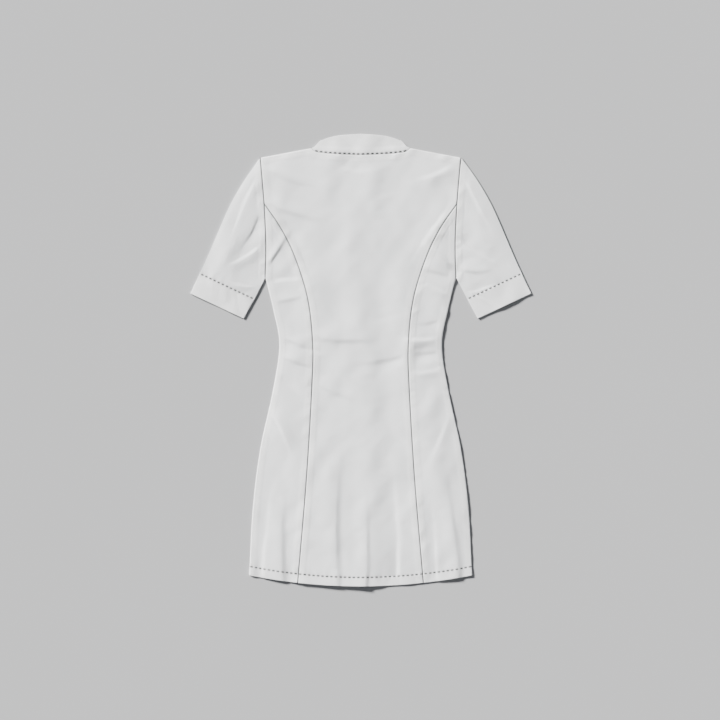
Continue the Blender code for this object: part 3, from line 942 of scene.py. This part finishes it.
def noise(tree, place, pitch):
    """Noise with bumps of about a pitch, from 0 to 1."""
    made = node(tree, "ShaderNodeTexNoise")
    made.inputs["Scale"].default_value = 1 / pitch
    tree.links.new(place, made.inputs["Vector"])
    return made.outputs["Fac"]


def vary_roughness(tree, shader, share, limits):
    """Roughness that goes from one limit to the other."""
    rough = math_node(tree, "MULTIPLY_ADD", share, limits[1] - limits[0], limits[0])
    tree.links.new(rough, shader.inputs["Roughness"])


def cloth_material(name, grain):
    """White twill. Where plies lie on each other less of the floor shows through. Its seams and the
    cloth beside its stitches are darkened with painted shade.
    """
    made, tree, shader = new_material(name, MORE_PLIES, 0.82)
    place = turned(tree, node(tree, "ShaderNodeTexCoord").outputs["Object"], grain)

    plies = node(tree, "ShaderNodeAttribute", attribute_name="plies").outputs["Fac"]
    painted_shade = node(tree, "ShaderNodeAttribute", attribute_name="painted_shade").outputs["Fac"]
    colour = mixed(tree, plies, ONE_PLY, MORE_PLIES)
    # painted shade in the seams and beside the stitches
    colour = mixed(tree, painted_shade, colour, PAINTED_SHADE_COLOUR)
    mottle = math_node(tree, "MULTIPLY", noise(tree, place, 90 * MM), CLOTH_MOTTLE)
    yarn = math_node(tree, "MULTIPLY", noise(tree, place, 2.2 * MM), YARN_MOTTLE)
    lightest = 1 + (CLOTH_MOTTLE + YARN_MOTTLE) / 2
    shade = math_node(tree, "SUBTRACT", lightest, math_node(tree, "ADD", mottle, yarn))
    tree.links.new(mixed(tree, 1.0, colour, shade, "MULTIPLY"), shader.inputs["Base Color"])
    vary_roughness(tree, shader, noise(tree, place, 6 * MM), CLOTH_ROUGHNESS)

    twill = wave(tree, place, TWILL_PITCH, 45)
    weft = wave(tree, place, WEFT_PITCH, 90)
    weave = math_node(tree, "ADD", twill, math_node(tree, "MULTIPLY", weft, 0.5))
    slub = math_node(tree, "MULTIPLY", noise(tree, place, 3.5 * MM), 1.2)
    add_bump(tree, shader, math_node(tree, "ADD", weave, slub), 0.6, 0.14 * MM)

    shader.inputs["Specular IOR Level"].default_value = 0.25
    shader.inputs["Sheen Weight"].default_value = 0.12
    shader.inputs["Sheen Roughness"].default_value = 0.5
    return made


def thread_material():
    """Spun sewing thread, twisted."""
    made, tree, shader = new_material("thread", THREAD, 0.8)
    place = node(tree, "ShaderNodeTexCoord").outputs["Object"]
    twist = wave(tree, place, 0.35 * MM, 35)
    add_bump(tree, shader, twist, 0.5, 0.08 * MM)
    tree.links.new(mixed(tree, twist, THREAD, toned(THREAD, 1.25)), shader.inputs["Base Color"])
    shader.inputs["Specular IOR Level"].default_value = 0.08
    return made


def steel_material():
    """The press studs' nickel-plated steel, faintly brushed."""
    made, tree, shader = new_material("stud_metal", STEEL, 0.3, 1.0)
    place = node(tree, "ShaderNodeTexCoord").outputs["Object"]
    vary_roughness(tree, shader, noise(tree, place, 1.5 * MM), STEEL_ROUGHNESS)
    return made


def floor_material():
    """A pale matt table top."""
    made, tree, shader = new_material("floor", FLOOR, 0.9)
    shader.inputs["Specular IOR Level"].default_value = 0.1
    place = node(tree, "ShaderNodeTexCoord").outputs["Object"]
    darker, lighter = toned(FLOOR, 1 - FLOOR_MOTTLE), toned(FLOOR, 1 + FLOOR_MOTTLE)
    tone = mixed(tree, noise(tree, place, 0.4), darker, lighter)
    tree.links.new(tone, shader.inputs["Base Color"])
    return made


BODY_CLOTH = cloth_material("cloth_body", 0)
SLEEVE_CLOTH = {
    "right": cloth_material("cloth_sleeve_right", -SLEEVE_GRAIN),
    "left": cloth_material("cloth_sleeve_left", SLEEVE_GRAIN),
}
COLLAR_CLOTH = cloth_material("cloth_collar", 90)
THREAD_FINISH = thread_material()


# ---------------------------------------------------------------- pieces of cloth


def split(line, point, above, below):
    """Evenly spaced points along a line down to its place nearest a point, and on to its end."""
    place = int(np.argmin(np.linalg.norm(line - point, axis=1)))
    first = np.vstack([line[:place], point])
    second = np.vstack([point, line[place + 1 :]])
    return spaced(first, above), spaced(second, below)


def stacked(top, seam, bottom, left, right):
    """Two patches, one above a seam line and one below it, as one grid. Sides come in two parts."""
    upper = patch(top, seam, left[0], right[0])
    lower = patch(seam, bottom, left[1], right[1])
    return np.concatenate([upper, lower[1:]])


def on_hem(line, above):
    """Where a line down the skirt crosses the hem, or a line above it."""
    height = line[:, 1] - hem_y(line[:, 0], above)
    place = int(np.argmin(np.abs(height)))
    return np.array([line[place, 0], hem_y(line[place, 0], above)])


def back_centre():
    """The middle panel of the back."""
    armhole_rows, skirt_rows = 34, 260
    neck_columns, shoulder_columns = 28, 24
    princess = curve(PRINCESS_SEAM, FINE_LINE)
    row_end, hem_end = on_hem(princess, HEM_DEPTH), on_hem(princess, 0)
    above, below = split(princess, row_end, skirt_rows, HEM_ROWS)
    below[-1] = hem_end
    right = (joined(curve(ARMHOLE_TOP, armhole_rows), above), below)
    left = tuple(mirrored(part) for part in right)
    shoulder = curve(SHOULDER_SEAM, shoulder_columns)
    top = both_sides(joined(curve(NECK_SEAM, neck_columns), shoulder))
    across = len(top) - 1
    seam = hem_line(-row_end[0], row_end[0], across, HEM_DEPTH)
    bottom = hem_line(-hem_end[0], hem_end[0], across)
    plan = stacked(top, seam, bottom, left, right)
    return back_panel("cloth_back_centre", plan, BODY_CLOTH, len(plan) - 1 - HEM_ROWS)


def back_side(side, place):
    """A side panel of the back. Its upper end is the sharp corner under the armhole."""
    low_rows, skirt_rows, across = 50, 200, 36
    inner = curve(PRINCESS_SEAM, FINE_LINE)
    outer = curve(SIDE_SEAM, FINE_LINE)
    row_ends = [on_hem(line, HEM_DEPTH) for line in (inner, outer)]
    hem_ends = [on_hem(line, 0) for line in (inner, outer)]
    left = split(inner, row_ends[0], low_rows + skirt_rows, HEM_ROWS)
    right = split(outer, row_ends[1], skirt_rows, HEM_ROWS)
    right = (joined(curve(ARMHOLE_LOW, low_rows), right[0]), right[1])
    for (above, below), hem_end in zip((left, right), hem_ends):
        above[0] += TIP_SHARE * (above[1] - above[0])
        below[-1] = hem_end
    top = left[0][0] + np.linspace(0, 1, across + 1)[:, None] * (right[0][0] - left[0][0])
    seam = hem_line(row_ends[0][0], row_ends[1][0], across, HEM_DEPTH)
    bottom = hem_line(hem_ends[0][0], hem_ends[1][0], across)
    plan = place(stacked(top, seam, bottom, left, right))
    return back_panel(f"cloth_back_side_{side}", plan, BODY_CLOTH, len(plan) - 1 - HEM_ROWS)


def front(side, place, climbs):
    """A front: its main part, and its strip of the placket from there past the centre."""
    armhole_rows, side_rows, columns = 44, 126, 18
    right = joined(armhole_line(armhole_rows), curve(SIDE_SEAM, side_rows))
    share = np.linspace(0, 1, len(right))[:, None]
    half_width, neck_y = COLLAR_SIDE[0][0] * MM, COLLAR_SIDE[0][1] * MM
    neckline = front_ellipse(COLLAR_SIDE[0], FRONT_NECK_DEPTH, columns, PLACKET_COLUMNS[0])
    top = joined(neckline, curve(SHOULDER_SEAM, columns))
    bottom = hem_line(top[0, 0], right[-1, 0], len(top) - 1)
    right[-1] = bottom[-1]
    left = top[0] + share * (bottom[0] - top[0])
    strip_x = np.linspace(-OVERLAP, top[0, 0], columns)[:-1]
    strip_y = neck_y - FRONT_NECK_DEPTH * np.sqrt(1 - (strip_x / half_width) ** 2)
    strip_top = np.column_stack([strip_x, strip_y])
    strip_bottom = np.column_stack([strip_x, hem_y(strip_x)])
    strip = (1 - share[:, None]) * strip_top + share[:, None] * strip_bottom
    plan = np.concatenate([strip, patch(top, bottom, left, right)], axis=1)
    return front_panel(f"cloth_front_{side}", place(plan), BODY_CLOTH, climbs)


def sleeve(side, place):
    """A sleeve pressed flat."""
    inner, outer = cuff_row()
    rows, across = 76, 76
    top = armhole_line(across)[::-1]
    seam = spaced(cuff_row(), across)
    bottom = spaced(cuff_line(), across)
    underarm = curve(UNDERARM_SEAM, FINE_LINE)
    left = split(underarm, inner, rows, CUFF_ROWS)
    right = split(curve(SLEEVE_OUTER, FINE_LINE), outer, rows, CUFF_ROWS)
    plan = place(stacked(top, seam, bottom, left, right))
    return folded_tube(f"cloth_sleeve_{side}", plan, plan, SLEEVE_CLOTH[side], stitched=rows)


def collar():
    """The stand collar pressed flat."""
    rows, back_columns, front_columns = 18, 46, 36
    side = curve(COLLAR_SIDE, rows)
    back_top = both_sides(curve(COLLAR_TOP, back_columns))
    upper = patch(both_sides(curve(NECK_SEAM, back_columns)), back_top, mirrored(side), side)
    front_seam = both_sides(front_ellipse(COLLAR_SIDE[0], FRONT_NECK_DEPTH, front_columns))
    top_depth = COLLAR_SIDE[-1][1] * MM - FRONT_BAND_TOP
    front_top = both_sides(front_ellipse(COLLAR_SIDE[-1], top_depth, front_columns))
    lower = patch(front_seam, front_top, mirrored(side), side)
    return folded_tube("cloth_collar", lower, upper, COLLAR_CLOTH, stitched=1, slit=COLLAR_SLIT)


# ---------------------------------------------------------------- stitches


def stitches(name, line, **how):
    """A row of stitches, each a short arched thread that dips into the cloth at its two ends."""
    pitch = row_pitch(line)
    count = round(lengths(line)[-1] / pitch)
    part = np.linspace(-STITCH_SHARE / 2, STITCH_SHARE / 2, THREAD_STEPS + 1)
    along = (np.arange(count)[:, None] + 0.5 + part[None]) * pitch
    plan = np.stack([np.interp(along, lengths(line), line[:, k]) for k in (0, 1)], axis=-1)
    height = upper_layer(plan.reshape(-1, 2), **how)[0].reshape(along.shape).mean(axis=1)
    arch = 1 - (2 * part / STITCH_SHARE) ** 4
    height = height[:, None] + THREAD_HALF_HEIGHT * (THREAD_ARCH * arch - THREAD_SINK)
    forward = np.gradient(plan, axis=1)
    forward /= np.linalg.norm(forward, axis=2)[..., None]
    across = np.stack([-forward[..., 1], forward[..., 0]], axis=-1)
    girth = THREAD_END + (1 - THREAD_END) * arch
    turns = np.arange(THREAD_SIDES) * 2 * math.pi / THREAD_SIDES
    rings = np.zeros((count, THREAD_STEPS + 1, THREAD_SIDES, 3))
    sideways = THREAD_HALF_WIDTH * girth[None, :, None] * np.cos(turns)
    rings[..., :2] = plan[:, :, None] + across[:, :, None] * sideways[..., None]
    rings[..., 2] = height[:, :, None] + THREAD_HALF_HEIGHT * girth[None, :, None] * np.sin(turns)
    numbers = np.arange(rings[..., 0].size).reshape(rings.shape[:3])
    faces = []
    for stitch in numbers:
        faces += grid_faces(stitch, ring=True).tolist()
        faces += [stitch[0].tolist(), stitch[-1][::-1].tolist()]
    mesh = new_mesh(name, rings.reshape(-1, 3).tolist(), faces, THREAD_FINISH)
    point_faces_out(mesh)
    mesh.shade_smooth()
    made = add_object(name, mesh)
    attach(made, "root")


# ---------------------------------------------------------------- making it all


def declare(piece, node_name):
    """Hides the solid that a piece of cloth stands for."""
    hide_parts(node_name)


def dress():
    """Every piece of cloth, its stitches, and the studs' finish."""
    declare(front("right", same, climbs=False), "front_right")
    declare(front("left", mirrored, climbs=True), "front_left")
    declare(back_centre(), "back_centre")
    declare(collar(), "collar")
    for side, place in (("right", same), ("left", mirrored)):
        declare(back_side(side, place), f"back_side_{side}")
        declare(sleeve(side, place), f"sleeve_{side}")
        stitches(f"stitches_neck_{side}", place(STITCH_ROWS["neck"]), collar=True)
        stitches(f"stitches_hem_{side}", place(STITCH_ROWS["hem"]))
        stitches(f"stitches_cuff_{side}", place(STITCH_ROWS["cuff"]), sewn_edges=False)
    steel = steel_material()
    for name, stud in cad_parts.items():
        if name.startswith("press_stud"):
            stud.data.materials.clear()
            stud.data.materials.append(steel)


def floor():
    """A pale table top."""
    corners = [(-FLOOR_HALF, -FLOOR_HALF, 0), (FLOOR_HALF, -FLOOR_HALF, 0)]
    corners += [(FLOOR_HALF, FLOOR_HALF, 0), (-FLOOR_HALF, FLOOR_HALF, 0)]
    add_object("floor", new_mesh("floor", corners, [(0, 1, 2, 3)], floor_material()))


def lights():
    """A soft key from the upper left, low enough to rake over the cloth, and a weak fill."""
    for name, direction, angle, strength, colour in LIGHTS:
        light = bpy.data.lights.new(name, "SUN")
        light.angle = math.radians(angle)
        light.energy = strength
        light.color = colour
        turn = Vector(direction).to_track_quat("Z", "Y").to_euler()
        add_object(name, light).rotation_euler = turn


def backdrop():
    """A studio's walls: bright at the horizon, darker overhead."""
    world = bpy.data.worlds.new("studio")
    world.use_nodes = True
    tree = world.node_tree
    place = node(tree, "ShaderNodeTexCoord").outputs["Generated"]
    axes = node(tree, "ShaderNodeSeparateXYZ")
    tree.links.new(place, axes.inputs[0])
    up = math_node(tree, "DIVIDE", axes.outputs["Z"], OVERHEAD_FROM)
    up.node.use_clamp = True
    tree.links.new(mixed(tree, up, HORIZON, OVERHEAD), tree.nodes["Background"].inputs["Color"])
    bpy.context.scene.world = world


def camera():
    """Straight above, with the drawing's frame round the tunic."""
    data = bpy.data.cameras.new("camera")
    data.lens = LENS
    data.sensor_width = SENSOR
    data.clip_end = 100
    made = add_object("camera", data)
    made.location = (*FRAME_SHIFT, FRAME_SIDE * LENS / SENSOR)
    bpy.context.scene.camera = made


camera()
floor()
lights()
backdrop()
dress()
